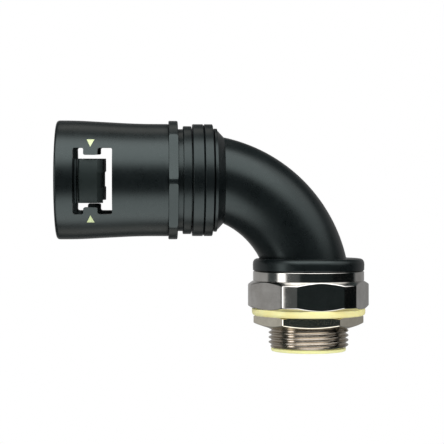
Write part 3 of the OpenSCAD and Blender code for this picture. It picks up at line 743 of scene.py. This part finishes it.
def yellowPlastic(name, s, subsurface=0.15):
    material, tree, shader = newMaterial(name, {"Subsurface Weight": subsurface, "Subsurface Radius": (0.6, 0.5, 0.2),
                                                "Subsurface Scale": 0.0012})
    place = placed(tree)
    cloud, fine = noise(tree, place, 0.16, 3), noise(tree, place, 3.0, 3)
    tree.links.new(tinted(tree, ranged(tree, cloud, 0, 1), s["pale"], s["deep"]), shader.inputs["Base Color"])
    tree.links.new(ranged(tree, fine, *s["roughness"]), shader.inputs["Roughness"])
    bumped(tree, shader, fine, 0.2, 0.03)
    return material


markerPaint = {"pale": (0.74, 0.83, 0.50), "deep": (0.64, 0.75, 0.34), "roughness": (0.4, 0.55)}


def sealRubber(name):
    material, tree, shader = newMaterial(name, {"Specular IOR Level": 0.35})
    place = placed(tree)
    fine = noise(tree, place, 4.0, 3)
    tree.links.new(tinted(tree, ranged(tree, fine, 0, 1), (0.01, 0.01, 0.01), (0.022, 0.022, 0.022)),
                   shader.inputs["Base Color"])
    tree.links.new(ranged(tree, fine, 0.6, 0.8), shader.inputs["Roughness"])
    bumped(tree, shader, fine, 0.3, 0.04)
    return material


def clipSteel(name):
    material, tree, shader = newMaterial(name, {"Metallic": 1.0})
    lines = noise(tree, placed(tree, (1, 1, 12)), 1.0, 3)
    tree.links.new(tinted(tree, ranged(tree, lines, 0, 1), (0.5, 0.5, 0.52), (0.66, 0.67, 0.69)),
                   shader.inputs["Base Color"])
    tree.links.new(ranged(tree, lines, 0.2, 0.34), shader.inputs["Roughness"])
    bumped(tree, shader, lines, 0.15, 0.02)
    return material


def dress(piece, material):
    piece.data.materials.clear()
    piece.data.materials.append(material)


mouldedBlack = blackPlastic("moulded_black", plastic)
elbowBlack = blackPlastic("elbow_black", {**plastic, "level": 0.41})
tongueBlack = blackPlastic("tongue_black", {**plastic, "dark": (0.008, 0.0115, 0.011), "light": (0.012, 0.016, 0.0155),
                                            "roughLow": 0.40, "roughHigh": 0.50, "level": 0.3})
# The latch ring's material carries a painted highlight: a paler colour along the rib in place of the light it would
# catch.
ringBlackPaintedRibHighlight = blackPlastic("ring_black", {**plastic, "level": 0.2, "dark": (0.002, 0.0028, 0.003),
                                        "rib": (0.014, 0.018, 0.019), "ribMiddle": latch["ribMiddle"]})
plated = nickelPlate("nickel_plate", nickel)
washerYellow = yellowPlastic("washer_yellow", yellow)
linerYellow = yellowPlastic("liner_yellow", {**yellow, "pale": (0.90, 0.90, 0.45), "deep": (0.86, 0.84, 0.36)})
markerGreen = yellowPlastic("marker_green", markerPaint, 0.0)
rubber, steel = sealRubber("seal_rubber"), clipSteel("clip_steel")

for piece, material in ((elbowPiece, elbowBlack), (socketPiece, elbowBlack), (capPiece, mouldedBlack)):
    dress(piece, material)
for piece in tonguePieces:
    dress(piece, tongueBlack)
dress(latchPiece, ringBlackPaintedRibHighlight)
dress(adaptorPiece, plated)
dress(nutPiece, nickelPlate("nut_nickel", nutNickel))
dress(washerPiece, washerYellow)
dress(linerPiece, linerYellow)
for piece in markerPieces:
    dress(piece, markerGreen)
hiddenFinish = {"swivel_seal": rubber, "socket_seal": rubber, "conduit_seal": rubber, "cap_seal": rubber,
                "swivel_clip": steel, "seal_follower": mouldedBlack}
for node, material in hiddenFinish.items():
    dress(frame["nodes"][node], material)
for node, piece in frame["nodes"].items():
    if node not in hiddenFinish:
        dress(piece, mouldedBlack)
print("materials set")

# Studio: a pale floor, a white background, lamps and a world that metal and gloss see as a studio

studio = {
    "floorSize": 3.0, "floorDepth": -0.17, "ambient": 0.62,
    "horizon": [(-180, 0.40), (-100.5, 0.42), (-98, 0.10), (-75, 0.07), (-69, 2.6), (-57, 2.6), (-52, 0.12),
                (-27, 0.12), (-21, 0.024), (38, 0.022), (48, 0.004), (100, 0.004), (108, 0.26), (180, 0.34)],
    "panels": [((-0.23, -0.51, 0.82), 0.80, 0.935, 3.1), ((0.25, -0.51, 0.82), 0.80, 0.935, 3.1),
               ((-0.06, -0.45, -0.88), 0.79, 0.935, 2.4), ((0.20, -0.45, -0.87), 0.79, 0.935, 2.4),
               ((0.66, -0.36, 0.66), 0.82, 0.96, 1.7)],
    "behind": [((0, 0.48, 0.88), 0.97, 0.99, 0.75), ((0, 0.48, -0.88), 0.97, 0.99, 0.75),
               ((0, 0.80, 0.60), 0.60, 0.95, 0.03), ((0, 0.80, -0.60), 0.60, 0.95, 0.03)],
    "warmth": (1.0, 0.96, 0.91), "coolness": (0.72, 1.0, 1.04), "overhead": 0.2,
    "lamps": [((-0.45, -0.60, 0.75), 0.45, 5.0), ((0.50, -0.60, 0.25), 0.5, 2.0), ((0.0, -0.45, -0.35), 0.4, 1.6)],
}


def buildFloor(s):
    mesh = bpy.data.meshes.new("studio_floor")
    half = s["floorSize"] / 2
    mesh.from_pydata([(-half, -half, 0), (half, -half, 0), (half, half, 0), (-half, half, 0)], [], [(0, 1, 2, 3)])
    mesh.transform(Matrix.Translation((0, 0, s["floorDepth"])))
    floor = bpy.data.objects.new("studio_floor", mesh)
    bpy.context.scene.collection.objects.link(floor)
    floor.visible_glossy = False
    return floor


def floorMaterial():
    # White to the camera where no shadow falls, mid-grey to the light it throws back.
    material, tree, shader = newMaterial("studio_floor", {"Base Color": (0.8, 0.8, 0.8, 1), "Roughness": 0.9})
    path = addNode(tree, "ShaderNodeLightPath")
    glow = addNode(tree, "ShaderNodeEmission", {"Color": (1, 1, 1, 1), "Strength": 1.0})
    mix = addNode(tree, "ShaderNodeMixShader")
    output = tree.nodes["Material Output"]
    tree.links.new(path.outputs["Is Camera Ray"], mix.inputs["Fac"])
    tree.links.new(shader.outputs["BSDF"], mix.inputs[1])
    tree.links.new(glow.outputs["Emission"], mix.inputs[2])
    tree.links.new(mix.outputs["Shader"], output.inputs["Surface"])
    return material


def buildWorld(s):
    world = bpy.data.worlds.new("studio")
    world.use_nodes = True
    bpy.context.scene.world = world
    tree = world.node_tree
    background, output = tree.nodes["Background"], tree.nodes["World Output"]
    direction = addNode(tree, "ShaderNodeTexCoord").outputs["Generated"]
    parts = addNode(tree, "ShaderNodeSeparateXYZ")
    tree.links.new(direction, parts.inputs["Vector"])
    # The turn round the upright from straight in front (-Y), towards +X, as a share of a whole turn.
    away = combined(tree, "MULTIPLY", parts.outputs["Y"], -1.0)
    turn = combined(tree, "ARCTAN2", parts.outputs["X"], away)
    share = ranged(tree, turn, 0.0, 1.0, -math.pi, math.pi)
    ramp = addNode(tree, "ShaderNodeValToRGB")
    stops = s["horizon"]
    elements = ramp.color_ramp.elements
    for i, (degrees, level) in enumerate(stops):
        place = (degrees + 180) / 360
        element = elements[i] if i < 2 else elements.new(place)
        element.position = place
        element.color = (level, level, level, 1)
    tree.links.new(share, ramp.inputs["Fac"])
    level = ramp.outputs["Color"]
    total = addNode(tree, "ShaderNodeSeparateColor")
    tree.links.new(level, total.inputs["Color"])
    # The horizon's light fades with the square of the height above or below it.
    rise = combined(tree, "MULTIPLY", parts.outputs["Z"], parts.outputs["Z"])
    fade = ranged(tree, rise, 1.0, s["overhead"], 0.06, 0.3)
    light = combined(tree, "MULTIPLY", total.outputs["Red"], fade)

    def lobes(light, panels):
        for axis, reach, full, strength in panels:
            along = addNode(tree, "ShaderNodeVectorMath", operation="DOT_PRODUCT")
            tree.links.new(direction, along.inputs[0])
            along.inputs[1].default_value = Vector(axis).normalized()
            light = combined(tree, "MAXIMUM", light, ranged(tree, along.outputs["Value"], 0.0, strength, reach, full))
        return light

    light = lobes(light, s["panels"])
    warm = lobes(0.0, s["behind"])
    light = combined(tree, "MAXIMUM", light, warm)
    path = addNode(tree, "ShaderNodeLightPath")
    warmShare = combined(tree, "MULTIPLY", path.outputs["Is Glossy Ray"], ranged(tree, warm, 0, 1, 0.0, 0.4))
    coolShare = combined(tree, "MULTIPLY", path.outputs["Is Glossy Ray"], ranged(tree, light, 1, 0, 0.03, 0.15))
    tint = addNode(tree, "ShaderNodeVectorMath", operation="MULTIPLY")
    tree.links.new(tinted(tree, warmShare, (1, 1, 1), s["warmth"]), tint.inputs[0])
    tree.links.new(tinted(tree, coolShare, (1, 1, 1), s["coolness"]), tint.inputs[1])
    tree.links.new(tint.outputs["Vector"], background.inputs["Color"])
    glossy = combined(tree, "MULTIPLY", path.outputs["Is Glossy Ray"], light)
    seen = path.outputs["Is Camera Ray"]
    plainShare = combined(tree, "SUBTRACT", combined(tree, "SUBTRACT", 1.0, seen), path.outputs["Is Glossy Ray"])
    plain = combined(tree, "MULTIPLY", combined(tree, "MAXIMUM", plainShare, 0.0), s["ambient"])
    strength = combined(tree, "ADD", combined(tree, "ADD", glossy, seen), plain)
    tree.links.new(strength, background.inputs["Strength"])
    tree.links.new(background.outputs["Background"], output.inputs["Surface"])


def buildLamps(s, target):
    for i, (place, size, power) in enumerate(s["lamps"]):
        lamp = bpy.data.lights.new(f"softbox_{i}", "AREA")
        lamp.shape, lamp.size, lamp.energy = "SQUARE", size, power
        holder = bpy.data.objects.new(f"softbox_{i}", lamp)
        bpy.context.scene.collection.objects.link(holder)
        holder.location = place
        holder.rotation_euler = (target - Vector(place)).to_track_quat("-Z", "Y").to_euler()
        holder.visible_glossy = False


camera = {"aim": (-0.02716, 0.0, 0.0270), "distance": 0.419, "azimuth": -3.0, "elevation": 0.0, "lens": 108.65, "sensor": 36.0}


def buildCamera(c):
    lens = bpy.data.cameras.new("photo_camera")
    lens.sensor_width, lens.lens, lens.sensor_fit = c["sensor"], c["lens"], "HORIZONTAL"
    holder = bpy.data.objects.new("photo_camera", lens)
    bpy.context.scene.collection.objects.link(holder)
    turn, rise = math.radians(c["azimuth"]), math.radians(c["elevation"])
    back = Vector((math.sin(turn) * math.cos(rise), -math.cos(turn) * math.cos(rise), math.sin(rise)))
    aim = Vector(c["aim"])
    holder.location = aim + back * c["distance"]
    holder.rotation_euler = (-back).to_track_quat("-Z", "Y").to_euler()
    bpy.context.scene.camera = holder
    return aim


studioFloor = buildFloor(studio)
studioFloor.data.materials.append(floorMaterial())
buildWorld(studio)
aim = buildCamera(camera)
buildLamps(studio, aim)
bpy.context.scene.view_settings.view_transform = "Standard"
print("studio and camera set")
